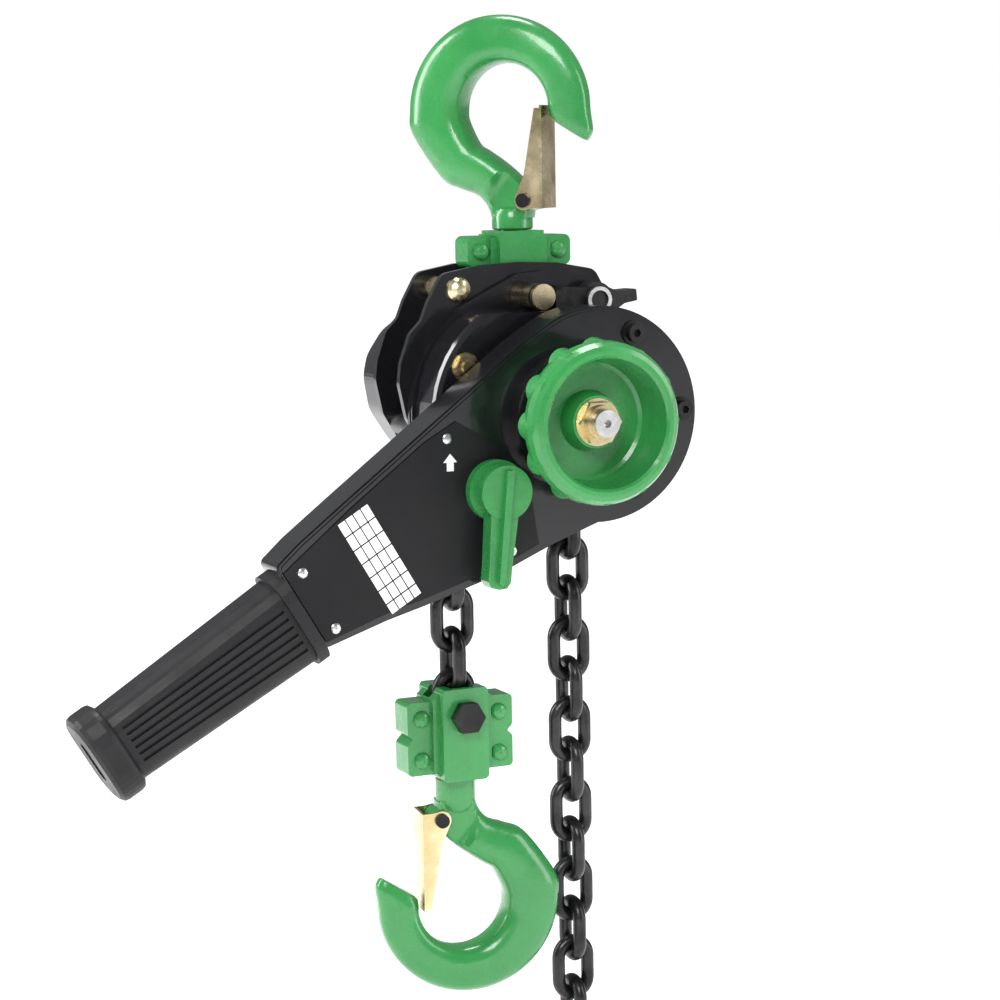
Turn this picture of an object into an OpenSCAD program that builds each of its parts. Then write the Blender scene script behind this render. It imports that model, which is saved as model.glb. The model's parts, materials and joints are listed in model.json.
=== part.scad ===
// Come along winch: a one tonne lever chain hoist with hand wheel, lever, two hooks and chain.
// Origin: the seat of the top hook's bowl on its swivel axis. X right, Y back, Z up.

/* [Frame] */
// Free space between the two side plates
plate_gap = 23; // [22.6:0.2:24]
// Thickness of each side plate
plate_t = 3; // [2.4:0.1:3.4]
// Drive axis below the top hook's seat
drive_drop = 145.3; // [144:0.5:150]
// Top hook pin to the right of the drive axis
pin_x = 4; // [3:0.5:5]
// Top hook pin above the drive axis
pin_z = 47.7; // [47:0.2:48.5]
// Radius of the top hook pin
pin_r = 5.4; // [4.6:0.1:5.6]
// Radius of the brake cover drum
drum_r = 50.5; // [49.5:0.5:52]
// Height of the brake cover's flat top above the drive axis
drum_top = 42; // [41:0.5:43]
// Depth of the gear cover behind the rear plate
gear_cover_depth = 33; // [31:0.5:38]
// Wall of both covers
cover_wall = 2; // [1.6:0.1:2.4]

/* [Lever] */
// Angle of the lever from +X, seen from the front
lever_angle = 210.8; // [205:0.2:215]
// Length from the drive axis to the end of the grip
lever_length = 237; // [230:1:260]
// Depth of the lever body
lever_depth = 19.5; // [19:0.5:21]
// Wall of the lever body
lever_wall = 2.4; // [2:0.1:3]
// Half width of the grip at the lever's side
grip_a = 18.5; // [17.5:0.1:19]
// Half width of the grip near its end
grip_end_a = 16; // [15:0.1:17]
// Half depth of the grip
grip_b = 13; // [12.5:0.1:14]
// Grooves along each face of the grip
grooves = 6; // [4:1:6]

/* [Hand wheel] */
// Largest radius of the wheel's scalloped rim
wheel_r = 34.5; // [32:0.5:36]
// Number of scallops round the rim
scallops = 12; // [8:1:14]
// Depth of the wheel's dish
wheel_depth = 19; // [17:0.5:20]

/* [Chain] */
// Pitch of the chain
pitch = 18; // [17.9:0.05:18.1]
// Wire of the links
wire = 5.8; // [5.4:0.1:5.9]
// Outer width of a link
link_w = 20; // [19.6:0.1:20.2]
// Links of the load strand below the sheave
load_links = 7; // [7:1:7]
// Links of the free strand, the one at the sheave included
free_links = 15; // [9:2:21]

/* [Hooks] */
// Radius of the hook's bowl
bowl_r = 19.3; // [18.8:0.1:19.6]
// Radius of the hook's outer curve
hook_r = 40.6; // [40:0.1:40.8]
// Thickness of the hook at its back
hook_t = 20.5; // [19:0.5:21.5]
// Rest angle of the top hook round its swivel
top_turn = -46.5; // [-60:0.5:-30]
// Rest angle of the bottom hook round its swivel
bottom_turn = -8; // [-20:0.5:-7]
// Bottom hook's seat below the drive axis
bottom_seat = 234; // [233.5:0.5:236]

/* [Hidden] */
$fn = 48;
run_gap = 0.08; // radial clearance of a shaft in its bore
air = 0.3; // clearance between bodies that move apart
part_y = plate_gap / 2 + plate_t; // outer face of a side plate
sheave_r = pitch / 2 / tan(18); // pitch radius of the links round the sheave
strand_x = sheave_r;
link_rc = (link_w - wire) / 2; // centreline radius of a link's end
link_hs = pitch / 2 + 3 - link_rc; // half length of a link's straight sides
wrap_slack = 0.9; // less wire where the links bend round the sheave
gear_m = 1.5; // gear module
gear_cd = 24; // gear centre distance
shaft_r = 5.5;
lever_back = -44.5;
lever_front_y = lever_back - lever_depth;
wheel_floor = -75;
selector_uw = [45, 4.6]; // selector's place along and across the lever
selector_r = 5;
lever_end = 138; // where the grip's collar meets the lever
grip_w = 1.6; // grip's axis across the lever
groove_first = 8.4;
groove_step = 3.7;
groove_end_step = 3.1;
bottom_axis = -strand_x;
swivel_r = 6; // hook neck inside its yoke
latch_x = 8.3; // latch pin from the hook's axis
latch_z = -57.7; // latch pin below the hook's seat
cover_angles = [30, 150, 270];
cover_stud_r = 41.5;

// ---- helpers ----

// moves a part drawn about the drive axis into the shared frame
module drive() {
    translate([-pin_x, 0, -drive_drop])
        children();
}

// draws an outline in the X-Z plane between two depths
module slab(ya, yb) {
    translate([0, max(ya, yb), 0])
        rotate([90, 0, 0])
            linear_extrude(abs(ya - yb))
                children();
}

// round bar along Y at x, z
module bar(x, z, r, ya, yb) {
    slab(ya, yb)
        translate([x, z])
            circle(r);
}

// six sided bar along Y, af across its flats
module hex_bar(x, z, af, ya, yb) {
    slab(ya, yb)
        translate([x, z])
            circle(af / 2 / cos(30), $fn = 6);
}

// domed head whose flat side faces back, rising towards the front
module dome(x, z, r, y, h, dir = 1) {
    translate([x, y, z])
        rotate([dir * 90, 0, 0])
            rotate_extrude()
                polygon([[0, 0], [r, 0], [r * 0.96, h * 0.35], [r * 0.75, h * 0.72], [r * 0.4, h * 0.95],
                    [0, h]]);
}

// outline drawn along and across the lever
module along_lever() {
    rotate(lever_angle)
        children();
}

// ---- gears ----
function inv_pt(rb, t) = [rb * sqrt(1 + t * t), t * 180 / PI - atan(t)];
function inv_at(rb, r) = r <= rb ? 0 : inv_pt(rb, sqrt(r * r / rb / rb - 1))[1];

module gear_outline(z, phase) {
    rp = gear_m * z / 2;
    rb = rp * cos(25);
    ra = rp + 0.85 * gear_m;
    rf = rp - 1.1 * gear_m;
    half = 90 / z - 0.1 / rp * 180 / PI + inv_at(rb, rp);
    rad = [max(rb, rf), (max(rb, rf) + rp) / 2, rp, ra];
    circle(rf + 0.01);
    for (i = [0:z - 1])
        rotate(phase + i * 360 / z)
            polygon(concat(
                [[rf * 0.9 * cos(half), -rf * 0.9 * sin(half)]],
                [for (r = rad) [r * cos(half - inv_at(rb, r)), -r * sin(half - inv_at(rb, r))]],
                [for (k = [3:-1:0])
                    [rad[k] * cos(half - inv_at(rb, rad[k])), rad[k] * sin(half - inv_at(rb, rad[k]))]],
                [[rf * 0.9 * cos(half), rf * 0.9 * sin(half)]]));
}

// ---- chain ----

// one link, long side along Z, flat in the X-Z plane
module link(wire = wire) {
    for (s = [-1, 1]) {
        translate([s * link_rc, 0, -link_hs])
            cylinder(r = wire / 2, h = 2 * link_hs, $fn = 24);
        translate([0, 0, s * link_hs])
            rotate([s * 90, 0, 0])
                rotate_extrude(angle = 180, $fn = 36)
                    translate([link_rc, 0])
                        circle(wire / 2, $fn = 24);
    }
}

module strand(x, first, last, flat_parity) {
    for (k = [first:last])
        translate([x, 0, -pitch * k])
            rotate([0, 0, (k % 2 == flat_parity) ? 0 : 90])
                link();
}

// ---- hooks ----

// distance from point c along angle a to the circle of radius r about q
function reach(c, a, q, r) =
    let (d = [cos(a), sin(a)], e = c - q, b = d * e)
    -b + sqrt(b * b - e * e + r * r);

hook_c = [-2, -19.5];
function inner_pt(a) = hook_c + reach(hook_c, a, [-1.3, -bowl_r], bowl_r) * [cos(a), sin(a)];
function outer_pt(a) = hook_c + reach(hook_c, a, [-4.8, -20], hook_r) * [cos(a), sin(a)];
function thick(a) = lookup(a, [[0, 0.62], [45, 0.78], [90, 0.92], [150, 1], [215, 0.98]]) * hook_t;

// inner point, outer point and thickness of each section from the nose to the shank
hook_sections = concat(
    [[[18.2, -22.3], [34.6, -33], hook_t * 0.5],
     [[18.1, -21], [36.6, -29], hook_t * 0.57]],
    [for (a = [-2:13:206]) [inner_pt(a), outer_pt(a), thick(a)]],
    [[[-15.6, -33], [-31, -48], hook_t * 0.97],
     [[-11, -36.2], [-22.2, -52.6], hook_t * 0.95],
     [[-4.5, -40.6], [-15, -55.2], hook_t * 0.92],
     [[2, -45.8], [-11.2, -58.5], hook_t * 0.9],
     [[7, -51], [-9.2, -62], hook_t * 0.87],
     [[9.6, -57.5], [-8.3, -65.5], hook_t * 0.85],
     [[9, -65], [-8, -68], hook_t * 0.8]]);

ring_n = 16;
function spow(v, p) = sign(v) * pow(abs(v), p);
// section points: fuller at the inner side, flatter at the outer side
function ring(s) = [for (i = [0:ring_n - 1])
    let (f = 360 * i / ring_n, c = spow(cos(f), 0.75), w = spow(sin(f), 0.7),
        m = (s[0] + s[1]) / 2, h = (s[1] - s[0]) / 2, y = s[2] / 2 * (1 - 0.12 * c))
    [m[0] + h[0] * c, w * y, m[1] + h[1] * c]];

module hook(collar_end, neck_end, nut_r) {
    n = len(hook_sections);
    difference() {
        union() {
            polyhedron(
                points = [for (s = hook_sections) each ring(s)],
                faces = concat(
                    [[for (i = [0:ring_n - 1]) i]],
                    [for (k = [0:n - 2], i = [0:ring_n - 1])
                        let (a = k * ring_n + i, b = k * ring_n + (i + 1) % ring_n)
                        each [[a, a + ring_n, b], [b, a + ring_n, b + ring_n]]],
                    [[for (i = [ring_n - 1:-1:0]) (n - 1) * ring_n + i]]));
            translate([0, 0, collar_end])
                cylinder(r = 8.7, h = -62 - collar_end);
            translate([0, 0, neck_end])
                cylinder(r = swivel_r, h = collar_end - neck_end + 0.5);
            translate([latch_x, 5.9, latch_z])
                rotate([90, 0, 0])
                    cylinder(r = 4.4, h = 11.8);
        }
        for (s = [-1, 1])
            translate([latch_x, s * 15.9, latch_z])
                rotate([90, 0, 0])
                    cylinder(r = 15, h = 20, center = true);
        translate([latch_x, 20, latch_z])
            rotate([90, 0, 0])
                cylinder(r = 2.1, h = 40);
    }
}

// round nut on the hook's neck
module neck_nut(za, zb) {
    difference() {
        translate([0, 0, za])
            cylinder(r = 8.7, h = zb - za);
        translate([0, 0, za - 1])
            cylinder(r = swivel_r, h = zb - za + 2);
    }
}

// sheet channel of the safety latch: a face, two cheeks and an eye at each cheek
module latch() {
    cheek = [[5.2, -60.6], [8.3, -61.9], [12, -61.2], [16.9, -61], [16.9, -19.2], [13.6, -19.2],
        [11.6, -30], [8.6, -47], [4.6, -56]];
    difference() {
        union() {
            for (s = [-1, 1])
                slab(s * 8, s * 6.8)
                    difference() {
                        union() {
                            polygon(cheek);
                            translate([latch_x, latch_z])
                                circle(4.1);
                        }
                        translate([latch_x, latch_z])
                            circle(2 + run_gap);
                    }
            slab(-7.6, 7.6)
                polygon([[15.8, -61], [16.9, -61], [16.9, -18], [15.8, -18]]);
        }
        // the face narrows to its tip
        for (s = [-1, 1])
            translate([0, s * 11.2, -18])
                rotate([s * 8, 0, 0])
                    cube([60, 6, 30], center = true);
    }
}

module latch_pin() {
    bar(latch_x, latch_z, 2, -9, 9);
    for (s = [-1, 1])
        bar(latch_x, latch_z, 3, s * 8.1, s * 9.6);
}

module at_top_hook() {
    rotate([0, 0, top_turn])
        children();
}

module at_bottom_hook() {
    translate([bottom_axis, 0, -bottom_seat])
        rotate([0, 180, 0])
            rotate([0, 0, -bottom_turn])
                children();
}

bottom_collar = -(bottom_seat - 158.5) + air;
top_collar = -drive_drop + 75 + air;

module top_hook() {
    color("green")
        at_top_hook()
            hook(top_collar, -drive_drop + 58, 8.7);
}

module top_hook_nut() {
    color("dimgray")
        neck_nut(-drive_drop + 58, -drive_drop + 67);
}

module top_latch_pin() {
    color("dimgray")
        at_top_hook()
            latch_pin();
}

module top_latch() {
    color("goldenrod")
        at_top_hook()
            latch();
}

module bottom_hook() {
    color("green")
        drive()
            at_bottom_hook()
                hook(bottom_collar, -(bottom_seat - 147), 8.7);
}

module bottom_hook_nut() {
    color("dimgray")
        drive()
            translate([bottom_axis, 0, -bottom_seat])
                rotate([0, 180, 0])
                    neck_nut(-(bottom_seat - 147), -(bottom_seat - 155));
}

module bottom_latch_pin() {
    color("dimgray")
        drive()
            at_bottom_hook()
                latch_pin();
}

module bottom_latch() {
    color("goldenrod")
        drive()
            at_bottom_hook()
                latch();
}

// ---- yokes ----

top_rivets = [for (x = [-18, 18]) [x, 66.5]];

// yoke drawn about the swivel axis, both halves
module top_yoke_body() {
    difference() {
        union() {
            slab(-11, 11)
                union() {
                    translate([-11, pin_z])
                        square([22, 75 - pin_z - 1.5]);
                    translate([-9.5, pin_z])
                        square([19, 75 - pin_z]);
                    translate([0, pin_z])
                        circle(9.2);
                    polygon([[-11, pin_z + 6], [-9.2, pin_z], [9.2, pin_z], [11, pin_z + 6]]);
                }
            slab(-6.5, 6.5)
                offset(r = 3)
                    offset(delta = -3)
                        translate([-24, 60])
                            square([48, 13]);
            for (s = [-1, 1])
                slab(-8, 8)
                    polygon([[s * 10, 60], [s * 14, 61], [s * 14, 72], [s * 10, 73]]);
        }
        translate([0, 0, 57.4])
            cylinder(r = 9, h = 10);
        cylinder(r = swivel_r + run_gap, h = 90);
        translate([0, 0, 20])
            cylinder(r = swivel_r + run_gap, h = 20);
        bar(0, pin_z, pin_r + run_gap, -20, 20);
        for (p = top_rivets)
            bar(p[0], p[1], 2.5, -20, 20);
        translate([-4, -20, 30])
            cube([8, 40, 6]);
    }
}

module rivet(x, z, half) {
    bar(x, z, 2.5, -half, half);
    dome(x, z, 3.65, -half, 2.4, 1);
    dome(x, z, 3.65, half, 2.4, -1);
}

module half_space(s) {
    intersection() {
        children();
        translate([-200, s > 0 ? 0 : -200, -400])
            cube([400, 200, 600]);
    }
}

module top_yoke_front() {
    color("green")
        translate([0, 0, -drive_drop])
            half_space(-1)
                top_yoke_body();
}

module top_yoke_rear() {
    color("green")
        translate([0, 0, -drive_drop])
            half_space(1)
                top_yoke_body();
}

module top_yoke_rivets() {
    color("green")
        translate([0, 0, -drive_drop])
            for (p = top_rivets)
                rivet(p[0], p[1], 6.5);
}

bottom_rivets = [for (x = [-18, 18], z = [-131, -149]) [x, z]];
bolt_z = -130.5;

module bottom_yoke_body() {
    difference() {
        union() {
            slab(-13, 13)
                polygon([[-9.5, -118.5], [9.5, -118.5], [10.5, -120], [10.5, -157], [9, -158.5],
                    [-9, -158.5], [-10.5, -157], [-10.5, -120]]);
            slab(-6.85, 6.85)
                offset(r = 2)
                    offset(delta = -2)
                        translate([-24.5, -155.5])
                            difference() {
                                square([49, 31.7]);
                                for (x = [0, 49])
                                    translate([x, 15.8])
                                        rotate(45)
                                            square(3.4, center = true);
                            }
            for (s = [-1, 1])
                slab(-9, 9)
                    polygon([[s * 10, -120], [s * 13.5, -123], [s * 13.5, -154], [s * 10, -157]]);
        }
        // slot of the last link, and room for the link above it
        slab(-3.4, 3.4)
            translate([-13, -142.3])
                square([26, 40]);
        translate([-5.5, 0, -6 * pitch - link_hs])
            rotate([0, 90, 0])
                cylinder(r = link_w / 2 + 0.9, h = 11);
        bar(0, bolt_z, 4.2, -20, 20);
        translate([0, 0, -155.4])
            cylinder(r = 9, h = 10);
        translate([0, 0, -170])
            cylinder(r = swivel_r + run_gap, h = 20);
        for (p = bottom_rivets)
            bar(p[0], p[1], 2.5, -20, 20);
    }
}

module at_bottom_axis() {
    drive()
        translate([bottom_axis, 0, 0])
            children();
}

module bottom_yoke_front() {
    color("green")
        at_bottom_axis()
            half_space(-1)
                bottom_yoke_body();
}

module bottom_yoke_rear() {
    color("green")
        at_bottom_axis()
            half_space(1)
                bottom_yoke_body();
}

module bottom_yoke_rivets() {
    color("green")
        at_bottom_axis()
            for (p = bottom_rivets)
                rivet(p[0], p[1], 6.85);
}

module chain_bolt() {
    color("black")
        at_bottom_axis() {
            bar(0, bolt_z, 4.15, -13.5, 20);
            bar(0, bolt_z, 6, -13.4, -13);
            hex_bar(0, bolt_z, 12.5, -18, -13.4);
        }
}

module chain_bolt_nut() {
    color("black")
        at_bottom_axis()
            difference() {
                hex_bar(0, bolt_z, 12.5, 13, 19);
                bar(0, bolt_z, 4.15, 12, 20);
            }
}

// ---- frame ----

half_outline = [[-35.5, 58], [-42, 46.5], [-45, 39], [-50.4, 33.6], [-54.7, 21.6], [-55.7, 13],
    [-52.6, -1.6],
    [-46.4, -11.7], [-28, -42], [-22, -46]];

module plate_outline() {
    offset(r = 6, $fn = 64)
        offset(delta = -6)
            polygon(concat(half_outline,
                [for (i = [len(half_outline) - 1:-1:0]) [-half_outline[i][0], half_outline[i][1]]],
                [[18, 61.2], [0, 62], [-18, 61.2]]));
}

module plate_holes() {
    translate([pin_x, pin_z])
        circle(pin_r);
    translate([-28.4, 51.3])
        circle(4);
    translate([31, 45.5])
        circle(4);
    circle(13 + run_gap);
}

module front_plate() {
    color("black")
        drive()
            difference() {
                slab(-part_y, -plate_gap / 2)
                    plate_outline();
                slab(-part_y - 1, 0)
                    plate_holes();
            }
}

module rear_plate() {
    color("black")
        drive()
            difference() {
                slab(plate_gap / 2, part_y)
                    plate_outline();
                slab(0, part_y + 1) {
                    plate_holes();
                    for (s = [-1, 1])
                        translate([s * gear_cd, 0])
                            circle(4 + run_gap);
                }
            }
}

module top_hook_pin() {
    color("goldenrod")
        drive() {
            difference() {
                bar(pin_x, pin_z, pin_r, -30, part_y + 4);
                difference() {
                    bar(pin_x, pin_z, pin_r + 1, -27.8, -26.4);
                    bar(pin_x, pin_z, pin_r - 1, -30, -20);
                }
            }
        }
}

module pin_clip() {
    color("dimgray")
        drive()
            difference() {
                bar(pin_x, pin_z, pin_r + 0.1, -27.8, -26.4);
                bar(pin_x, pin_z, pin_r - 1, -30, -20);
                slab(-30, -20)
                    translate([pin_x - 3, pin_z - 10])
                        square([6, 8]);
            }
}

module stay_bolt() {
    color("goldenrod")
        drive() {
            bar(-28.4, 51.3, 5, -plate_gap / 2, plate_gap / 2);
            bar(-28.4, 51.3, 4, -part_y, part_y);
            dome(-28.4, 51.3, 5.4, -part_y, 4.2, 1);
            dome(-28.4, 51.3, 5.4, part_y, 3, -1);
        }
}

module pawl_stud() {
    color("dimgray")
        drive() {
            bar(31, 45.5, 5, -plate_gap / 2, plate_gap / 2);
            bar(31, 45.5, 4, -27.6, part_y);
            dome(31, 45.5, 5.4, part_y, 3, -1);
        }
}

module pawl_stud_nut() {
    color("silver")
        drive()
            difference() {
                bar(31, 45.5, 5.6, -28.6, -26.4);
                bar(31, 45.5, 4, -30, -20);
            }
}

base_y = -part_y - 2.5;

module brake_base() {
    color("black")
        drive()
            difference() {
                slab(base_y, -part_y)
                    offset(r = 2)
                        offset(delta = -2)
                            union() {
                                intersection() {
                                    circle(drum_r + 2);
                                    translate([-60, -60])
                                        square([120, 104]);
                                }
                                polygon([[-31.5, 43], [-2, 57.2], [10, 58], [31, 54.5], [38, 51],
                                    [40, 36], [-31.5, 36]]);
                            }
                slab(base_y - 1, -part_y + 1) {
                    translate([pin_x, pin_z])
                        circle(pin_r);
                    translate([31, 45.5])
                        circle(4);
                    circle(13 + run_gap);
                }
            }
}

module drum(r, top, ya, yb, edge) {
    intersection() {
        translate([0, ya, 0])
            rotate([90, 0, 0])
                rotate_extrude($fn = 96)
                    polygon([[0, 0], [r, 0], [r, ya - yb - edge], [r - edge * 0.29, ya - yb - edge * 0.29],
                        [r - edge, ya - yb], [0, ya - yb]]);
        slab(ya, yb)
            offset(r = 5)
                offset(delta = -5)
                    intersection() {
                        circle(r);
                        translate([-60, -60])
                            square([120, top + 60]);
                    }
    }
}

module brake_cover() {
    color("black")
        drive()
            difference() {
                union() {
                    drum(drum_r, drum_top, base_y, -38, 2.6);
                    slab(base_y, base_y - 2)
                        intersection() {
                            circle(drum_r + 1.6);
                            translate([-60, -60])
                                square([120, drum_top + 60]);
                        }
                }
                drum(drum_r - cover_wall, drum_top - cover_wall, base_y + 1, -38 + cover_wall, 2);
                bar(0, 0, 20, -50, -20);
                for (a = cover_angles)
                    bar(cover_stud_r * cos(a), cover_stud_r * sin(a), 3, -50, -10);
                // window of the brake pawl
                slab(base_y + 1, -27) {
                    translate([7.5, 30])
                        square([20, 30]);
                    translate([22, 36])
                        square([19.5, 20]);
                }
                bar(31, 45.5, 6.2, -29.6, -20);
            }
}

module cover_nuts() {
    color("goldenrod")
        drive()
            for (a = cover_angles) {
                x = cover_stud_r * cos(a);
                z = cover_stud_r * sin(a);
                bar(x, z, 3, -43, base_y);
                hex_bar(x, z, 9.6, -41.6, -38.4);
                bar(x, z, 6, -38.4, -38);
            }
}

// ratchet disc held by the brake pawl
module ratchet_disc() {
    color("dimgray")
        drive()
            difference() {
                slab(-28.6, -23.6) {
                    circle(29.5);
                    for (i = [0:19])
                        rotate(i * 18 + 9)
                            polygon([[28, -4.5], [33.6, -3.6], [34, -2.4], [29, 4.5], [26, 0]]);
                }
                bar(0, 0, 12 + run_gap, -40, -20);
            }
}

module brake_pawl() {
    color("dimgray")
        drive()
            difference() {
                slab(-26, base_y - air)
                    offset(r = 0.8)
                        offset(delta = -0.8)
                            union() {
                                translate([31, 45.5])
                                    circle(7.4);
                                polygon([[26, 50.5], [31, 52.9], [40, 49], [49.5, 49.5], [50, 44.5],
                                    [44, 43.5], [40, 41],
                                    [31, 38.2], [24, 42.5], [22.5, 42.8], [17.8, 36], [14.8, 32.2],
                                        [11.6, 43.6], [11.4, 49.6], [16, 51.4]]);
                            }
                bar(31, 45.5, 4 + run_gap, -40, 0);
            }
}

gear_outline_pts = [[-40, 33.5], [-48, 22], [-50, 12.8], [-47.6, -1.7], [-38.6, -15.5], [-19.5, -34.5],
    [19.5, -34.5], [38.6, -15.5], [47.6, -1.7], [50, 12.8], [48, 22], [40, 33.5], [28, 39], [-28, 39]];

module gear_shape(grow) {
    offset(r = 16 + grow, $fn = 64)
        offset(delta = -16)
            polygon(gear_outline_pts);
}

module gear_case(grow, ya, yb, edge) {
    hull() {
        slab(ya, yb - edge)
            gear_shape(grow);
        slab(ya, yb - edge * 0.3)
            gear_shape(grow - edge * 0.3);
        slab(ya, yb)
            gear_shape(grow - edge);
    }
}

cover_end = part_y + gear_cover_depth;

module gear_cover() {
    color("black")
        drive()
            difference() {
                union() {
                    difference() {
                        gear_case(0, part_y, cover_end, 7);
                        gear_case(-cover_wall, part_y - 1, cover_end - cover_wall, 5.4);
                    }
                    for (x = [-gear_cd, 0, gear_cd])
                        bar(x, 0, 7, 35, cover_end - 1);
                    for (s = [-1, 1])
                        bar(s * 32, 27, 4.5, part_y, cover_end - 1);
                    bar(0, -28, 5.5, part_y, cover_end - 1);
                }
                for (x = [-gear_cd, 0, gear_cd])
                    bar(x, 0, 4 + run_gap, 30, 41);
                for (s = [-1, 1])
                    bar(s * 32, 27, 2.5, 0, 60);
                bar(0, -28, 2.5, 0, 60);
            }
}

module gear_cover_screws() {
    color("dimgray")
        drive()
            for (p = [[-32, 27], [32, 27], [0, -28]])
                difference() {
                    union() {
                        bar(p[0], p[1], 2.5, part_y, cover_end + 1);
                        bar(p[0], p[1], 4.5, cover_end, cover_end + 4);
                    }
                    hex_bar(p[0], p[1], 4, cover_end + 2, cover_end + 5);
                }
}

module chain_guide_rollers() {
    color("dimgray")
        drive()
            for (s = [-1, 1])
                bar(s * 45, -6, 4.5, -plate_gap / 2, plate_gap / 2);
}

module chain_stripper() {
    color("dimgray")
        drive()
            slab(-plate_gap / 2, plate_gap / 2)
                polygon([[-5, -44], [5, -44], [5, -38], [2.5, -34.5], [-2.5, -34.5], [-5, -38]]);
}

// links lying round the sheave, every other one standing in the groove
module chain_over_sheave() {
    color("dimgray")
        drive() {
            for (i = [0:5])
                rotate([0, -i * 36, 0])
                    translate([sheave_r, 0, 0])
                        rotate([0, 0, (i % 2 == 0) ? 0 : 90])
                            link(wire - wrap_slack);
            translate([strand_x, 0, -pitch])
                rotate([0, 0, 90])
                    link();
        }
}

// ---- drive ----

module drive_shaft() {
    color("silver")
        drive() {
            difference() {
                bar(0, 0, shaft_r, -95.5, 30);
                bar(0, 0, 1.6, -97, -92);
            }
            slab(26, 34)
                gear_outline(10, 0);
            bar(0, 0, 4, 30, 40);
        }
}

module friction_hub() {
    color("dimgray")
        drive()
            difference() {
                union() {
                    bar(0, 0, 26, -21, -18);
                    bar(0, 0, 12, -31, -18);
                }
                bar(0, 0, shaft_r + 0.02, -40, 0);
            }
}

module friction_discs() {
    color("tan")
        drive()
            for (y = [-23.3, -31])
                difference() {
                    bar(0, 0, 26, y, y + 2.3 - (y < -30 ? 0.2 : 0));
                    bar(0, 0, 12, y - 1, y + 4);
                }
}

module driving_hub() {
    color("dimgray")
        drive()
            difference() {
                union() {
                    bar(0, 0, 26, -34, -31);
                    bar(0, 0, 18, wheel_floor, -31);
                    slab(-60, -48)
                        gear_ratchet();
                }
                bar(0, 0, shaft_r + 0.02, -80, 0);
            }
}

module gear_ratchet() {
    circle(19.5);
    for (i = [0:19])
        rotate(i * 18)
            polygon([[18, -2.6], [21.4, -1.5], [22, 0], [21.4, 1.5], [18, 2.6]]);
}

wheel_front = wheel_floor - 3 - wheel_depth;

module hand_wheel() {
    color("green")
        drive()
            difference() {
                union() {
                    translate([0, wheel_floor, 0])
                        rotate([90, 0, 0])
                            rotate_extrude($fn = 72)
                                polygon([[0, 0], [26, 0], [27.5, 1.5], [27.5, 8], [wheel_r - 4, 9],
                                    [wheel_r - 2.3, 11],
                                    [wheel_r - 1.5, 15], [wheel_r - 2, 19], [wheel_r - 3.6, 21.4],
                                        [wheel_r - 5.5, 3 + wheel_depth],
                                    [27.2, 3 + wheel_depth], [26.2, 21], [25, 8], [24, 4], [22.5, 3],
                                        [12.5, 3], [10.6, 11], [0, 11]]);
                    difference() {
                        for (i = [0:scallops - 1])
                            rotate([0, i * 360 / scallops, 0])
                                translate([wheel_r - 7, wheel_floor - 8.8, 0])
                                    rotate([90, 0, 0])
                                        cylinder(r1 = 6.4, r2 = 5.2, h = 10.6);
                        translate([0, wheel_floor, 0])
                            rotate([90, 0, 0])
                                cylinder(r = 27, h = 30);
                    }
                }
                bar(0, 0, shaft_r + 0.02, -120, 0);
            }
}

module spindle_nut() {
    color("goldenrod")
        drive()
            difference() {
                union() {
                    hex_bar(0, 0, 16, wheel_floor - 14.8, wheel_floor - 11.6);
                    bar(0, 0, 9.6, wheel_floor - 11.6, wheel_floor - 11);
                    bar(0, 0, 7, wheel_floor - 16.8, wheel_floor - 14.8);
                }
                bar(0, 0, shaft_r + 0.02, -120, 0);
            }
}

module load_sheave() {
    color("dimgray")
        drive()
            difference() {
                union() {
                    difference() {
                        bar(0, 0, 33, -11.1, 11.1);
                        for (i = [0:4])
                            rotate([0, 36 + i * 72, 0])
                                translate([sheave_r + 20.5, 0, 0])
                                    cube([50, 30, 31], center = true);
                        difference() {
                            bar(0, 0, 40, -3.5, 3.5);
                            bar(0, 0, 17.2, -4, 4);
                        }
                    }
                    bar(0, 0, 13, -16.5, 16);
                    bar(0, 0, 9, 15, 24);
                }
                bar(0, 0, shaft_r + run_gap, -30, 30);
            }
}

module load_gear() {
    color("dimgray")
        drive()
            difference() {
                slab(16, 24)
                    gear_outline(22, 0);
                bar(0, 0, 9.02, 10, 30);
            }
}

module counter_gear(s) {
    drive()
        translate([s * gear_cd, 0, 0]) {
            slab(26, 34)
                gear_outline(22, 180 / 22);
            slab(16, 24)
                gear_outline(10, 18);
            bar(0, 0, 4, 11.8, 40);
            bar(0, 0, 5.4, 23, 27);
        }
}

module counter_gear_left() {
    color("dimgray")
        counter_gear(-1);
}

module counter_gear_right() {
    color("dimgray")
        counter_gear(1);
}

// ---- chain strands ----

module load_chain() {
    color("dimgray")
        drive()
            strand(-strand_x, 1, load_links, 1);
}

module free_chain() {
    color("dimgray")
        drive()
            strand(strand_x, 2, free_links, 0);
}

module chain_end_ring() {
    color("dimgray")
        drive()
            translate([strand_x, 0, -pitch * free_links - 17])
                rotate([90, 0, 0])
                    rotate_extrude()
                        translate([10, 0])
                            circle(1.9, $fn = 24);
}

// ---- lever ----

module lever_outline() {
    offset(r = 3)
        offset(delta = -3)
            union() {
                translate([-11.4, 6.2])
                    circle(44.5, $fn = 96);
                polygon([[-11.4, -38.3], [4, -38], [100, -27.5], [125, -24.6], [lever_end, -22],
                    [lever_end, 17.5], [110, 23.6], [94, 28],
                    [61, 36], [34, 39.6], [12, 43.8], [-11.4, 50]]);
            }
}

screw_spots = [[27.9, 33.5], [50, 1], [28, -30]];

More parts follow.
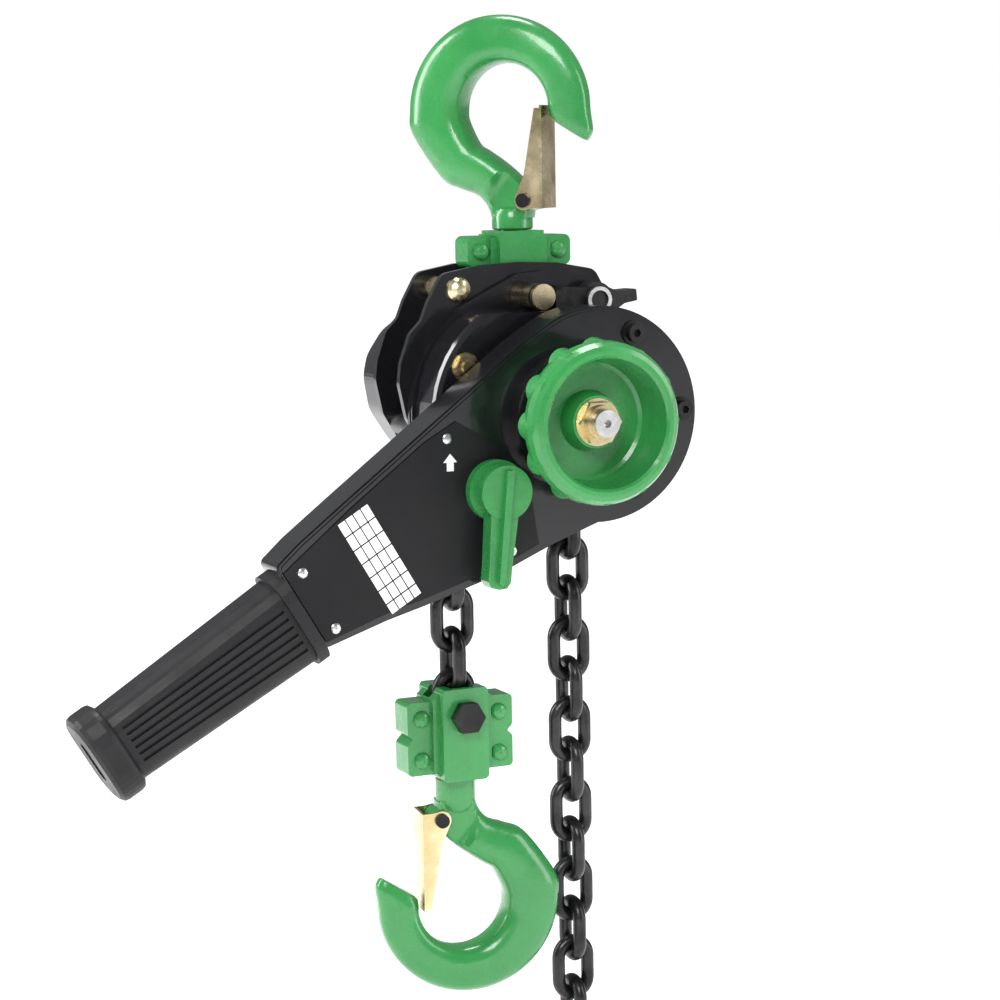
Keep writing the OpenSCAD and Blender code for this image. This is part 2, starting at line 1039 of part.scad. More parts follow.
module lever_front() {
    color("black")
        drive()
            difference() {
                union() {
                    difference() {
                        union() {
                            slab(lever_back, lever_front_y + 1.6)
                                along_lever()
                                    lever_outline();
                            slab(lever_back, lever_front_y + 0.6)
                                along_lever()
                                    offset(delta = -0.6)
                                        lever_outline();
                            slab(lever_back, lever_front_y)
                                along_lever()
                                    offset(delta = -1.7)
                                        lever_outline();
                        }
                        slab(lever_back + 1, lever_front_y + lever_wall)
                            along_lever()
                                offset(delta = -lever_wall)
                                    lever_outline();
                    }
                    bar(0, 0, 28.5, lever_front_y, -71.6);
                    bar(0, 0, 25, lever_front_y, -72.8);
                    for (p = screw_spots)
                        bar(p[0], p[1], 5, lever_front_y + 1, lever_back - 2.5);
                    tang();
                }
                bar(0, 0, 18.1, -90, -10);
                for (p = screw_spots)
                    bar(p[0], p[1], 2.5, -90, 0);
                slab(-90, -10)
                    along_lever()
                        translate(selector_uw)
                            circle(selector_r + run_gap);
            }
}

// bar that carries the grip
module tang() {
    rotate([0, -lever_angle, 0])
        translate([lever_end - 2, lever_back - lever_depth / 2, grip_w])
            rotate([0, 90, 0])
                cylinder(r = 7.45, h = 70);
}

module lever_rear() {
    color("black")
        drive()
            difference() {
                slab(lever_back - 2.5, lever_back)
                    along_lever()
                        difference() {
                            offset(delta = -lever_wall - 0.05)
                                lever_outline();
                            translate(selector_uw)
                                circle(4.1);
                        }
                bar(0, 0, 18.1, -90, -10);
                for (p = screw_spots)
                    bar(p[0], p[1], 2.5, -90, 0);
            }
}

module lever_screws() {
    color("dimgray")
        drive()
            for (p = screw_spots)
                difference() {
                    union() {
                        bar(p[0], p[1], 2.5, lever_front_y - 1, lever_back);
                        bar(p[0], p[1], 5, lever_front_y - 1, lever_front_y);
                        bar(p[0], p[1], 3.6, lever_front_y - 4, lever_front_y - 1);
                    }
                    hex_bar(p[0], p[1], 3, lever_front_y - 5, lever_front_y - 2);
                }
}

plate_pts = [[136.5, -18.4], [136.5, 15], [108, 20.6], [92, 25], [61, 32.4], [50, 34], [40, 35],
    [32, 15], [30, 4], [33, -8], [44, -28], [60, -28.4], [100, -24]];
plate_rivet_uw = [[51, -24.3], [130, -14.2], [130.5, 12.4], [51.5, 30.4]];

module rating_plate() {
    color("black")
        drive()
            slab(lever_front_y - 0.8, lever_front_y)
                along_lever()
                    difference() {
                        polygon(plate_pts);
                        translate(selector_uw)
                            circle(selector_r + 0.6);
                        for (p = plate_rivet_uw)
                            translate(p)
                                circle(1.2);
                    }
}

module plate_rivets() {
    color("silver")
        drive()
            for (p = plate_rivet_uw)
                rotate([0, -lever_angle, 0])
                    dome(p[0], p[1], 2.2, lever_front_y - 0.8, 1.1, 1);
}

// rounded oblong, a and b are its half sizes
module oblong(a, b, r) {
    offset(r = r)
        square([2 * (a - r), 2 * (b - r)], center = true);
}

module oblong_at(u, h, a, b, r) {
    translate([0, 0, u])
        linear_extrude(h)
            oblong(a, b, r, $fn = 32);
}

module grip() {
    flange = lever_length - 12;
    slope = atan((groove_step - groove_end_step) / (flange - 149));
    color("black")
        drive()
            rotate([0, -lever_angle, 0])
                translate([0, lever_back - lever_depth / 2, grip_w])
                    rotate([0, 90, 0])
                        difference() {
                            union() {
                                hull() {
                                    oblong_at(lever_end + 4, 1, grip_a, grip_b, 9);
                                    oblong_at(flange, 1, grip_end_a, grip_b - 1, 9);
                                }
                                oblong_at(lever_end, 5, grip_a + 1.8, grip_b + 1.8, 10.5);
                                hull() {
                                    oblong_at(flange, 12, grip_end_a + 1, grip_b, 10);
                                    oblong_at(flange + 1.2, 9.6, grip_end_a + 2.9, grip_b + 1.6, 12);
                                    oblong_at(flange + 3, 6, grip_end_a + 3.5, grip_b + 2.2, 13);
                                }
                            }
                            translate([0, 0, 120])
                                cylinder(r = 7.5, h = 88);
                            // grooves down the front and the back
                            for (side = [-1, 1], i = [0:grooves - 1])
                                translate([groove_first - groove_step * i, side * grip_b, lever_end + 7])
                                    rotate([side * 0.72, slope * (i - 0.3), 0])
                                        translate([-0.65, -1.1, 0])
                                            cube([1.3, 2.2, flange - lever_end - 10]);
                            // slot in the end
                            translate([0, 0, lever_length - 1.4])
                                linear_extrude(3)
                                    oblong(9, 3.4, 3.3);
                        }
}

// knob with a ridged pointer, on a round base
module selector_knob() {
    x = selector_uw[0] * cos(lever_angle) - selector_uw[1] * sin(lever_angle);
    z = selector_uw[0] * sin(lever_angle) + selector_uw[1] * cos(lever_angle);
    color("green")
        drive() {
            bar(x, z, selector_r, -66, -61);
            bar(x, z, 4, -62, -44);
            bar(x, z, 12.5, -69, lever_front_y - 0.8 - air);
            bar(x, z, 11, -78, -69);
            slab(-77.4, -70)
                translate([x, z])
                    rotate(264)
                        polygon([[0, -6.4], [30, -5], [36, -5], [38.4, -3.4], [39, 0], [38.4, 3.4],
                            [36, 5], [30, 5], [0, 6.4]]);
            slab(-80.4, -77)
                translate([x, z])
                    rotate(264)
                        polygon([[-9, -1.6], [36, -1.3], [37.4, 0], [36, 1.3], [-9, 1.6]]);
        }
}

// two-nosed pawl on the selector's spindle
module changeover_pawl() {
    x = selector_uw[0] * cos(lever_angle) - selector_uw[1] * sin(lever_angle);
    z = selector_uw[0] * sin(lever_angle) + selector_uw[1] * cos(lever_angle);
    color("dimgray")
        drive()
            difference() {
                slab(-59, -49)
                    translate([x, z])
                        rotate(lever_angle + 180 + 10.6)
                            offset(delta = 0.01) {
                                circle(8.5);
                            polygon([[0, 8], [12, 13.5], [17, 13], [19, 10.5], [12, 6], [9, 0],
                                [12, -6], [19, -10.5], [17, -13], [12, -13.5], [0, -8], [-2, 0]]);
                        }
                bar(x, z, 4 + run_gap, -70, -30);
            }
}

top_hook();
top_hook_nut();
top_latch_pin();
top_latch();
top_yoke_front();
top_yoke_rear();
top_yoke_rivets();
front_plate();
rear_plate();
top_hook_pin();
pin_clip();
stay_bolt();
pawl_stud();
pawl_stud_nut();
cover_nuts();
brake_base();
brake_cover();
ratchet_disc();
gear_cover();
gear_cover_screws();
chain_guide_rollers();
chain_stripper();
chain_over_sheave();
brake_pawl();
drive_shaft();
friction_hub();
friction_discs();
driving_hub();
hand_wheel();
spindle_nut();
load_sheave();
load_gear();
counter_gear_left();
counter_gear_right();
load_chain();
free_chain();
chain_end_ring();
bottom_yoke_front();
bottom_yoke_rear();
bottom_yoke_rivets();
chain_bolt();
chain_bolt_nut();
bottom_hook();
bottom_hook_nut();
bottom_latch_pin();
bottom_latch();
lever_front();
lever_rear();
lever_screws();
rating_plate();
plate_rivets();
grip();
selector_knob();
changeover_pawl();
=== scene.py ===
import json
import math

import bmesh
import bpy
from mathutils import Matrix, Vector


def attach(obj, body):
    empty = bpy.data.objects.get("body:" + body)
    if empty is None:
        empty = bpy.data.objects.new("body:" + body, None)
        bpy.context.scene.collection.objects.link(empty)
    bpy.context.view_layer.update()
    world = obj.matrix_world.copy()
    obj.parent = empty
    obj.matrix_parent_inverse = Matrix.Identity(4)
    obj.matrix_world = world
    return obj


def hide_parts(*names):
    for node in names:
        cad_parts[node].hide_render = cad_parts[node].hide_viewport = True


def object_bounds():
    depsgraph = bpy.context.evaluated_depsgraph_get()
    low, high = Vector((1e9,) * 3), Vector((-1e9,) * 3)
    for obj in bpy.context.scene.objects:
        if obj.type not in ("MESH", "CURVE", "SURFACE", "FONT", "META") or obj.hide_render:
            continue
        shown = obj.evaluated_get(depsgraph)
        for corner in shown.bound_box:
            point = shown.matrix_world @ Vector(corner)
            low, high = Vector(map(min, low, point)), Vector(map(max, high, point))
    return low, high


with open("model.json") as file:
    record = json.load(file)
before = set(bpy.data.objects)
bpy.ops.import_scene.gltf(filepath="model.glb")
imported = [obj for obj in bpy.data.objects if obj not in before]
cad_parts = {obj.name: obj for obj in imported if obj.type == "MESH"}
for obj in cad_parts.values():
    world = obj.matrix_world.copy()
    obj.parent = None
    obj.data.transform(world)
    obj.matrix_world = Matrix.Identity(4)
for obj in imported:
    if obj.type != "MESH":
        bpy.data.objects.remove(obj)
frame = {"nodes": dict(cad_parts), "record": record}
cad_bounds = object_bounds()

# Looks of the lever chain hoist. Shapes are written in millimetres and turned to metres with MM.
# Places of bodies, floor, lights and camera are in metres.
MM = 0.001
DRIVE = Vector((-0.004, 0.0, -0.1453))  # the drive axis
SHARP_EDGE = math.radians(35)  # edges steeper than this stay sharp in the smooth pieces
NODES = frame["nodes"]
SLOT_OF = {s["node"]: s["material_slot"] for s in frame["record"]["subparts"]}
scene = bpy.context.scene


# ---------------------------------------------------------------- materials
UNEVEN_STRENGTH, GRAIN_STRENGTH = 0.6, 0.4
GRAIN_SCALE = 2600
COAT_ROUGH = 0.08


def node_material(name):
    """An empty material with one principled shader."""
    mat = bpy.data.materials.new(name)
    mat.use_nodes = True
    tree = mat.node_tree
    for n in list(tree.nodes):
        tree.nodes.remove(n)
    out = tree.nodes.new("ShaderNodeOutputMaterial")
    shader = tree.nodes.new("ShaderNodeBsdfPrincipled")
    tree.links.new(shader.outputs["BSDF"], out.inputs["Surface"])
    return mat, tree, shader


def noise(tree, scale, detail=4.0):
    """A noise value in the object's own coordinates."""
    coord = tree.nodes.new("ShaderNodeTexCoord")
    tex = tree.nodes.new("ShaderNodeTexNoise")
    tex.inputs["Scale"].default_value = scale
    tex.inputs["Detail"].default_value = detail
    tex.inputs["Roughness"].default_value = 0.55
    tree.links.new(coord.outputs["Object"], tex.inputs["Vector"])
    return tex.outputs["Fac"]


def blend(tree, source, low, high):
    """A colour that runs from low to high with the source's value."""
    node = tree.nodes.new("ShaderNodeValToRGB")
    stops = ((0.3, low), (0.7, high))
    for stop, (pos, colour) in zip(node.color_ramp.elements, stops):
        stop.position = pos
        stop.color = (*colour, 1)
    tree.links.new(source, node.inputs["Fac"])
    return node.outputs["Color"]


def bump(tree, scale, detail, strength, height):
    """A bump node over noise, its height in millimetres."""
    node = tree.nodes.new("ShaderNodeBump")
    node.inputs["Strength"].default_value = strength
    node.inputs["Distance"].default_value = height * MM
    tree.links.new(noise(tree, scale, detail), node.inputs["Height"])
    return node


def surface(name, dark, light, rough, patch, bumps, metallic=0.0, coat=0.0, grain=0.0, gloss=0.5):
    """A finish whose colour and roughness wander a little over patches.

    bumps holds the scale and height of its unevenness, and grain the height of a fine texture.
    """
    mat, tree, shader = node_material(name)
    put = shader.inputs
    tree.links.new(blend(tree, noise(tree, patch), dark, light), put["Base Color"])
    low, high = rough
    wander = noise(tree, patch * 3)
    tree.links.new(blend(tree, wander, (low,) * 3, (high,) * 3), put["Roughness"])
    put["Metallic"].default_value = metallic
    put["Specular IOR Level"].default_value = gloss
    put["Coat Weight"].default_value = coat
    put["Coat Roughness"].default_value = COAT_ROUGH
    scale, height = bumps
    last = bump(tree, scale, 3.0, UNEVEN_STRENGTH, height)
    if grain:
        fine = bump(tree, GRAIN_SCALE, 2.0, GRAIN_STRENGTH, grain)
        tree.links.new(last.outputs["Normal"], fine.inputs["Normal"])
        last = fine
    tree.links.new(last.outputs["Normal"], put["Normal"])
    return mat


FINISHES = {
    "green_paint": dict(dark=(0.021, 0.19, 0.043), light=(0.03, 0.238, 0.057), rough=(0.2, 0.36),
                        patch=30, bumps=(170, 0.5), coat=0.35, grain=0.05, gloss=0.4),
    "black_paint": dict(dark=(0.004, 0.004, 0.005), light=(0.01, 0.01, 0.012), rough=(0.12, 0.24),
                        patch=20, bumps=(60, 0.12), coat=0.5, grain=0.02, gloss=0.35),
    "lever_paint": dict(dark=(0.004, 0.004, 0.005), light=(0.009, 0.009, 0.011), rough=(0.12, 0.24),
                        patch=16, bumps=(45, 0.12), coat=0.45, grain=0.02, gloss=0.35),
    "panel_black": dict(dark=(0.005, 0.005, 0.006), light=(0.008, 0.008, 0.009), rough=(0.32, 0.44),
                        patch=25, bumps=(50, 0.05), coat=0.05, grain=0.02, gloss=0.2),
    "black_steel": dict(dark=(0.01, 0.01, 0.011), light=(0.03, 0.029, 0.028), rough=(0.32, 0.52),
                        patch=60, bumps=(260, 0.35), metallic=0.7, grain=0.05),
    "zinc_yellow": dict(dark=(0.5, 0.4, 0.2), light=(0.8, 0.69, 0.46), rough=(0.18, 0.34),
                        patch=45, bumps=(180, 0.1), metallic=1.0, grain=0.02),
    "bright_steel": dict(dark=(0.42, 0.42, 0.43), light=(0.7, 0.7, 0.69), rough=(0.2, 0.38),
                         patch=60, bumps=(240, 0.08), metallic=1.0, grain=0.02),
    "chain_steel": dict(dark=(0.012, 0.012, 0.013), light=(0.04, 0.039, 0.039), rough=(0.26, 0.46),
                        patch=80, bumps=(300, 0.3), metallic=0.8, coat=0.15, grain=0.04),
    "inner_steel": dict(dark=(0.07, 0.07, 0.07), light=(0.2, 0.2, 0.19), rough=(0.3, 0.5),
                        patch=50, bumps=(220, 0.12), metallic=0.9, grain=0.03),
    "friction_lining": dict(dark=(0.1, 0.06, 0.035), light=(0.2, 0.13, 0.08), rough=(0.7, 0.9),
                            patch=90, bumps=(500, 0.2)),
    "grip_rubber": dict(dark=(0.006, 0.006, 0.007), light=(0.012, 0.012, 0.013), rough=(0.4, 0.56),
                        patch=30, bumps=(420, 0.12), grain=0.06, gloss=0.28),
    "panel_white": dict(dark=(0.66, 0.66, 0.65), light=(0.8, 0.8, 0.79), rough=(0.4, 0.55),
                        patch=35, bumps=(60, 0.02)),
}
MATS = {name: surface(name, **finish) for name, finish in FINISHES.items()}


# ---------------------------------------------------------------- pieces and meshes
def paint(obj, mat):
    obj.data.materials.clear()
    obj.data.materials.append(mat)


def piece(name, mesh, body, slot, mat=None, replaces=None):
    """A piece of the scene that rides a body, painted in its slot's material unless another is given, and
    may stand for a node.
    """
    obj = bpy.data.objects.new(name, mesh)
    scene.collection.objects.link(obj)
    paint(obj, mat or MATS[slot])
    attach(obj, body)
    if replaces:
        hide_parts(replaces)


def mesh_from(name, verts, faces, smooth=True):
    """A mesh with outward faces, smooth but for its sharp edges."""
    mesh = bpy.data.meshes.new(name)
    mesh.from_pydata([tuple(v) for v in verts], [], faces)
    mesh.update()
    bm = bmesh.new()
    bm.from_mesh(mesh)
    bmesh.ops.recalc_face_normals(bm, faces=bm.faces)
    for f in bm.faces:
        f.smooth = smooth
    for e in bm.edges:
        if len(e.link_faces) == 2 and e.calc_face_angle(0) > SHARP_EDGE:
            e.smooth = False
    bm.to_mesh(mesh)
    bm.free()
    return mesh


def placed(verts, place):
    return [place @ (v * MM) for v in verts]


def tube_faces(rings, n):
    """Faces that join rings of n points each, with a cap at both ends."""
    faces = []
    for k in range(rings - 1):
        for i in range(n):
            a, b = k * n + i, k * n + (i + 1) % n
            faces.append((a, b, b + n, a + n))
    faces.append(tuple(range(n - 1, -1, -1)))
    faces.append(tuple((rings - 1) * n + i for i in range(n)))
    return faces


def ring_angles(n):
    return [2 * math.pi * i / n for i in range(n)]


def lathe(profile, n=48):
    """A solid of revolution about Z from (radius, z) pairs."""
    verts = [Vector((r * math.cos(f), r * math.sin(f), z)) for r, z in profile for f in ring_angles(n)]
    return verts, tube_faces(len(profile), n)


def wire(points, r, n=10):
    """A round wire along the points."""
    verts = []
    side = Vector((0, 1, 0))
    for k, p in enumerate(points):
        along = (points[min(k + 1, len(points) - 1)] - points[max(k - 1, 0)]).normalized()
        side = (side - along * side.dot(along)).normalized()
        other = along.cross(side)
        verts += [p + side * (r * math.cos(f)) + other * (r * math.sin(f)) for f in ring_angles(n)]
    return verts, tube_faces(len(points), n)


# ---------------------------------------------------------------- CAD nodes
NOT_BEVELLED = ("load_chain", "free_chain", "chain_over_sheave", "chain_end_ring",
                "top_hook", "bottom_hook")
for name, obj in NODES.items():
    paint(obj, MATS[SLOT_OF[name]])
    if name not in NOT_BEVELLED:
        bevel = obj.modifiers.new("soft_edges", "BEVEL")
        bevel.width = 0.35 * MM
        bevel.segments = 2
        bevel.limit_method = "ANGLE"
        bevel.angle_limit = math.radians(38)


# ---------------------------------------------------------------- hooks
# A hook hangs in its own frame: the seat of its bowl is the origin, X to the nose, Z along the shank.
HOOK_T = 20.5  # thickness at the back
EYE = (-2, -19.5)  # where the rays through the bowl start
INNER = ((-1.3, -19.3), 19.3)  # centre and radius of the bowl
OUTER = ((-4.8, -20), 40.4)  # centre and radius of the outer curve
LATCH_PIN = (8.3, -57.7)
SQUARE_X, SQUARE_Y = 0.75, 0.7  # below 1 the section is fuller than an ellipse
BACK_THIN = 0.12  # how much thinner the section gets towards its outer edge

# share of the thickness by angle round the bowl
THICK = [(0, 0.62), (45, 0.78), (90, 0.92), (150, 1), (215, 0.98)]


def lookup(a, table):
    if a <= table[0][0]:
        return table[0][1]
    for (a0, v0), (a1, v1) in zip(table, table[1:]):
        if a <= a1:
            return v0 + (v1 - v0) * (a - a0) / (a1 - a0)
    return table[-1][1]


def reach(a, circle):
    """Where the ray from EYE at angle a meets the circle."""
    centre, r = circle
    dx, dz = math.cos(math.radians(a)), math.sin(math.radians(a))
    ex, ez = EYE[0] - centre[0], EYE[1] - centre[1]
    b = dx * ex + dz * ez
    d = -b + math.sqrt(b * b - ex * ex - ez * ez + r * r)
    return (EYE[0] + d * dx, EYE[1] + d * dz)


# sections from the nose to the shank: inner point, outer point, share of the thickness
STATIONS = [
    ((18.2, -22.3), (34.6, -33.0), 0.5),
    ((18.1, -21.0), (36.6, -29.0), 0.57),
]
STATIONS += [(reach(a, INNER), reach(a, OUTER), lookup(a, THICK)) for a in range(-2, 206, 13)]
STATIONS += [
    ((-15.6, -33), (-31, -48), 0.97),
    ((-11, -36.2), (-22.2, -52.6), 0.95),
    ((-4.5, -40.6), (-15, -55.2), 0.92),
    ((2, -45.8), (-11.2, -58.5), 0.9),
    ((7, -51), (-9.2, -62), 0.87),
    ((9.6, -57.5), (-8.3, -65.5), 0.85),
    ((9, -65), (-8, -68), 0.8),
]


def spline(p0, p1, p2, p3, t):
    """Catmull-Rom value between p1 and p2."""
    return 0.5 * (2 * p1 + (p2 - p0) * t + (2 * p0 - 5 * p1 + 4 * p2 - p3) * t * t
                  + (3 * p1 - p0 - 3 * p2 + p3) * t ** 3)


def nose_tip(first):
    """The first section drawn in, so that the nose's end is rounded off a little."""
    x0, z0, x1, z1, t = first
    cx, cz = (x0 + x1) / 2, (z0 + z1) / 2
    draw = 0.12  # share of the way to the section's middle
    inner_shift, outer_shift, thinner = (0.1, -0.7), (0, -0.3), 0.8
    return [x0 + (cx - x0) * draw + inner_shift[0], z0 + (cz - z0) * draw + inner_shift[1],
            x1 + (cx - x1) * draw + outer_shift[0], z1 + (cz - z1) * draw + outer_shift[1],
            t * thinner]


def hook_sections(steps=4):
    """Smooth rows of (x0, z0, x1, z1, thickness share) through the stations."""
    flat = [(*inner, *outer, t) for inner, outer, t in STATIONS]
    last = len(flat) - 1
    rows = []
    for k in range(last):
        near = [flat[max(k - 1, 0)], flat[k], flat[k + 1], flat[min(k + 2, last)]]
        for j in range(steps):
            rows.append([spline(*(row[c] for row in near), j / steps) for c in range(5)])
    rows.append(list(flat[-1]))
    return [nose_tip(rows[0])] + rows


def hook_sweep(n=32):
    """The forging from nose to shank."""
    rows = hook_sections()
    verts = []
    for x0, z0, x1, z1, t in rows:
        for f in ring_angles(n):
            c = math.copysign(abs(math.cos(f)) ** SQUARE_X, math.cos(f))
            w = math.copysign(abs(math.sin(f)) ** SQUARE_Y, math.sin(f))
            y = t * HOOK_T / 2 * (1 - BACK_THIN * c)
            x, z = (x0 + x1) / 2 + (x1 - x0) / 2 * c, (z0 + z1) / 2 + (z1 - z0) / 2 * c
            verts.append(Vector((x, w * y, z)))
    # flats beside the latch's pin, as on the solid
    flat_y, flat_r, run_out_r, slope = 5.85, 14.2, 17, 1.6
    for v in verts:
        d = math.hypot(v.x - LATCH_PIN[0], v.z - LATCH_PIN[1])
        if d < run_out_r:
            limit = flat_y + max(0.0, d - flat_r) * slope
            v.y = max(-limit, min(limit, v.y))
    return verts, tube_faces(len(rows), n)


def latch_boss():
    """The boss round the latch's pin, across the hook."""
    verts, faces = lathe([(3.9, -5.9), (4.4, -5.4), (4.4, 5.4), (3.9, 5.9)], 32)
    turn = Matrix.Rotation(math.radians(90), 4, "X")
    pin = Vector((LATCH_PIN[0], 0, LATCH_PIN[1]))
    return [turn @ v + pin for v in verts], faces


def add_hook(label, place, collar_end, neck_end):
    """A smooth hook in place of the node that has the same name as its body."""
    forms = {
        "form": hook_sweep(),
        "collar": lathe([(8.0, collar_end), (8.7, collar_end + 0.7), (8.7, -66), (8.5, -63), (7.2, -61)]),
        "neck": lathe([(6, neck_end), (6, collar_end + 0.5)]),
        "boss": latch_boss(),
    }
    for part, (verts, faces) in forms.items():
        name = f"{label}_{part}"
        piece(name, mesh_from(name, placed(verts, place), faces), label, "green_paint", replaces=label)


TOP = Matrix.Rotation(math.radians(-46.5), 4, "Z")
UPSIDE_DOWN = Matrix.Rotation(math.pi, 4, "Y")
BOTTOM = Matrix.Translation((-0.0317, 0, -0.3793)) @ UPSIDE_DOWN @ Matrix.Rotation(math.radians(8), 4, "Z")
add_hook("top_hook", TOP, -70.0, -87.3)
add_hook("bottom_hook", BOTTOM, -75.2, -87.0)


# ---------------------------------------------------------------- latch springs
def latch_spring(name, body, place):
    """A double torsion spring: coils on the pin inside both cheeks, with a bridge behind the face."""
    coil_r, wire_r, steps = 2.7, 0.16, 48
    start, sweep = math.radians(168), math.radians(518)
    hook_side, cheek_side = 6.11, 6.62
    half = [(7.9, hook_side, -49.4)]
    for k in range(steps + 1):
        a = start + sweep * k / steps
        y = hook_side + (cheek_side - hook_side) * k / steps
        half.append((LATCH_PIN[0] + coil_r * math.cos(a), y, LATCH_PIN[1] + coil_r * math.sin(a)))
    # the leg goes up behind the cheek and bends over to the bridge
    half += [(14.6, cheek_side, -52.9), (15.3, cheek_side - 0.5, -51.8), (15.35, cheek_side - 1.6, -51.7)]
    route = half + [(x, -y, z) for x, y, z in reversed(half)]
    verts, faces = wire([Vector(q) for q in route], wire_r)
    piece(name, mesh_from(name, placed(verts, place), faces), body, "bright_steel")


latch_spring("top_latch_spring", "top_latch", TOP)
latch_spring("bottom_latch_spring", "bottom_latch", BOTTOM)


# ---------------------------------------------------------------- rating plate
LEVER_A = math.radians(210.8)  # the lever's direction from +X
FACE_Y = -64.8  # the plate's face
PRINT_T = 0.06  # how far the print stands off the face
PRINT_SUNK = 0.02


def lever_point(u, w, y):
    """A point u along the lever from the drive axis, w across it."""
    x = u * math.cos(LEVER_A) - w * math.sin(LEVER_A)
    z = u * math.sin(LEVER_A) + w * math.cos(LEVER_A)
    return DRIVE + Vector((x, y, z)) * MM


def decal(name, outlines):
    """Flat printed shapes on the rating plate, given along and across the lever."""
    verts, faces = [], []
    for pts in outlines:
        n, base = len(pts), len(verts)
        verts += [lever_point(u, w, FACE_Y + PRINT_SUNK) for u, w in pts]
        verts += [lever_point(u, w, FACE_Y - PRINT_T) for u, w in pts]
        faces.append(tuple(base + i for i in range(n)))
        faces.append(tuple(base + n + i for i in range(n - 1, -1, -1)))
        for i in range(n):
            j = (i + 1) % n
            faces.append((base + i, base + j, base + n + j, base + n + i))
    mesh = mesh_from(name, verts, faces, smooth=False)
    piece(name, mesh, "lever", "panel_black", MATS["panel_white"])


def ruled_panel():
    """Blank cells in four rows across the lever."""
    rows = (93.2, 97.0, 100.8, 104.6)
    columns = (-22.0, -15.5, -9.0, -2.5, 4.0, 10.5, 17.0, 22.0)
    depth, rule = 3.3, 0.3
    cells = []
    for left, right in zip(columns, columns[1:]):
        w0, w1 = left + rule, right - rule
        cells += [[(u, w0), (u + depth, w0), (u + depth, w1), (u, w1)] for u in rows]
    return cells


def arrow(u, w, length, width):
    """A plain arrow at (u, w) that points to the top of the hoist."""
    turn = math.radians(90) - LEVER_A
    c, s = math.cos(turn), math.sin(turn)
    tip, half, stem = length / 2, width / 2, width / 4
    shape = [(0, tip), (-half, 0), (-stem, 0), (-stem, -tip), (stem, -tip), (stem, 0), (half, 0)]
    return [(u + y * c - x * s, w + y * s + x * c) for x, y in shape]


decal("plate_ruled_panel", ruled_panel())
decal("plate_arrow", [arrow(55, -15.5, 7.0, 6.0)])


# ---------------------------------------------------------------- floor and world
FLOOR_DROP = 0.03  # metres below the chain's end
bpy.ops.mesh.primitive_plane_add(size=14, location=(0, 2.0, cad_bounds[0].z - FLOOR_DROP))
floor = bpy.context.object
floor.name = "floor"
floor_mat, floor_tree, floor_shader = node_material("floor")
floor_shader.inputs["Base Color"].default_value = (0.93, 0.93, 0.93, 1)
floor_shader.inputs["Roughness"].default_value = 0.9
floor_shader.inputs["Specular IOR Level"].default_value = 0.0
floor_shader.inputs["Emission Color"].default_value = (1, 1, 1, 1)
floor_shader.inputs["Emission Strength"].default_value = 0.3
paint(floor, floor_mat)


def background(tree, colour, strength):
    node = tree.nodes.new("ShaderNodeBackground")
    node.inputs["Color"].default_value = (*colour, 1)
    node.inputs["Strength"].default_value = strength
    return node.outputs["Background"]


def studio_world():
    """White behind the object, and a dimmer grey for the light that it gives."""
    world = bpy.data.worlds.new("studio")
    scene.world = world
    world.use_nodes = True
    tree = world.node_tree
    for n in list(tree.nodes):
        tree.nodes.remove(n)
    out = tree.nodes.new("ShaderNodeOutputWorld")
    mix = tree.nodes.new("ShaderNodeMixShader")
    path = tree.nodes.new("ShaderNodeLightPath")
    tree.links.new(path.outputs["Is Camera Ray"], mix.inputs["Fac"])
    tree.links.new(background(tree, (0.62, 0.63, 0.65), 0.42), mix.inputs[1])
    tree.links.new(background(tree, (1, 1, 1), 1.0), mix.inputs[2])
    tree.links.new(mix.outputs["Shader"], out.inputs["Surface"])


studio_world()


# ---------------------------------------------------------------- lights
def aim(obj, direction):
    obj.rotation_euler = direction.to_track_quat("-Z", "Y").to_euler()


OBJECT_MIDDLE = Vector((-0.03, 0, -0.18))


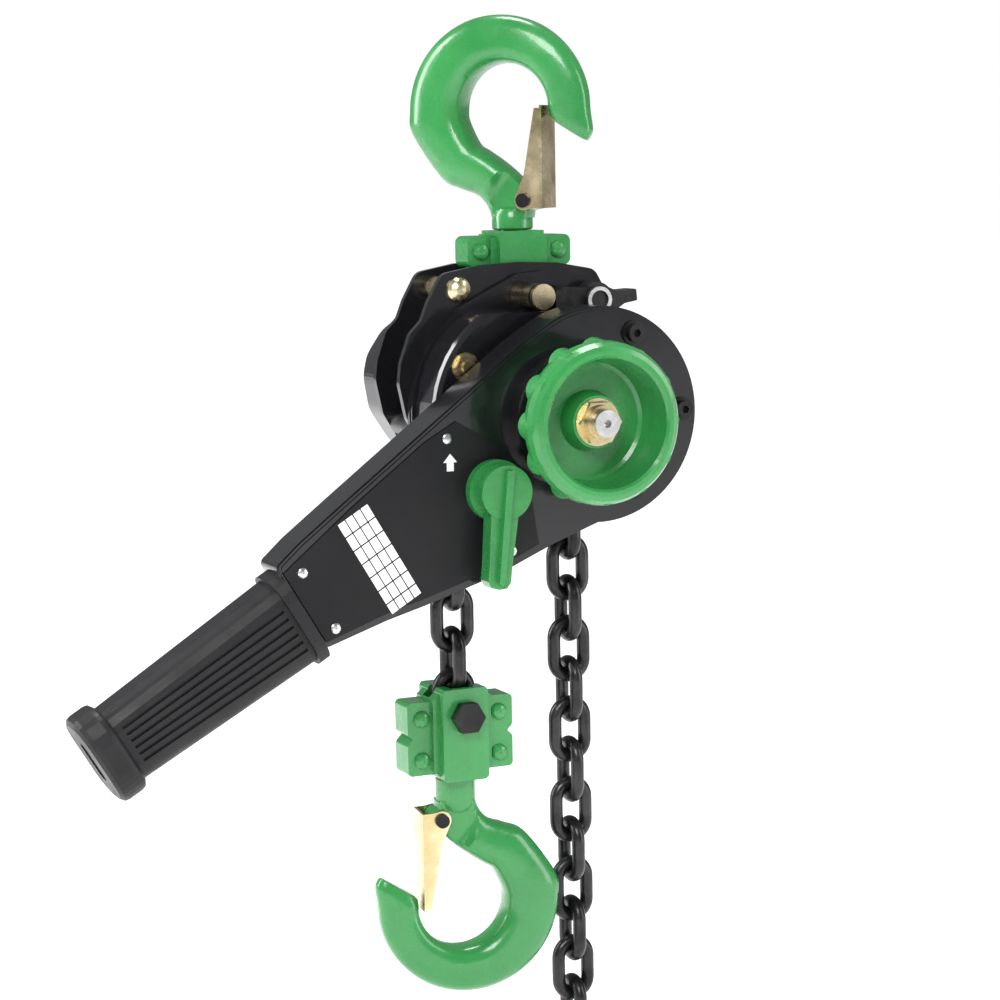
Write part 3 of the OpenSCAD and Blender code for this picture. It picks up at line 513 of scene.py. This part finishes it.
def area(name, place, size, power):
    """A soft box that looks at the middle of the object."""
    light = bpy.data.lights.new(name, "AREA")
    light.shape = "RECTANGLE"
    light.size, light.size_y = size
    light.energy = power
    obj = bpy.data.objects.new(name, light)
    scene.collection.objects.link(obj)
    obj.location = place
    aim(obj, OBJECT_MIDDLE - Vector(place))


area("key", (-0.9, -1.3, 0.9), (0.8, 0.8), 30)
area("fill", (1.2, -1.0, 0.2), (0.5, 1.4), 13)
area("back_left", (-1.2, 0.6, 0.4), (0.4, 1.2), 20)

# a wide, even light from above keeps the floor one tone and leaves the object's shadow on it
sun = bpy.data.lights.new("top_soft", "SUN")
sun.energy = 2.0
sun.angle = math.radians(25)
sun_obj = bpy.data.objects.new("top_soft", sun)
scene.collection.objects.link(sun_obj)
aim(sun_obj, Vector((-0.12, -0.3, -1)))


# ---------------------------------------------------------------- camera
YAW, PITCH, ROLL = math.radians(24.5), math.radians(7.2), math.radians(1.0)
FOCAL_PX = 2650.0  # focal length in pixels of the frame
DISTANCE = 1.137  # metres from the camera to the drive axis, along the view
AXIS_RIGHT_PX, AXIS_UP_PX = 7, 94  # where the drive axis stands in the frame, from its middle
FRAME_PX = 1000
SENSOR = 36.0

forward = Vector((math.sin(YAW) * math.cos(PITCH), math.cos(YAW) * math.cos(PITCH), -math.sin(PITCH)))
level = Vector((math.cos(YAW), -math.sin(YAW), 0))
upright = level.cross(forward)
right = level * math.cos(ROLL) - upright * math.sin(ROLL)
up = level * math.sin(ROLL) + upright * math.cos(ROLL)
metre_per_px = DISTANCE / FOCAL_PX
eye = DRIVE - right * (AXIS_RIGHT_PX * metre_per_px) - up * (AXIS_UP_PX * metre_per_px) - forward * DISTANCE

camera = bpy.data.cameras.new("camera")
camera.sensor_width = SENSOR
camera.lens = FOCAL_PX / FRAME_PX * SENSOR
camera_obj = bpy.data.objects.new("camera", camera)
scene.collection.objects.link(camera_obj)
camera_obj.matrix_world = Matrix((
    (right.x, up.x, -forward.x, eye.x),
    (right.y, up.y, -forward.y, eye.y),
    (right.z, up.z, -forward.z, eye.z),
    (0, 0, 0, 1)))
scene.camera = camera_obj
scene.view_settings.view_transform = "Standard"
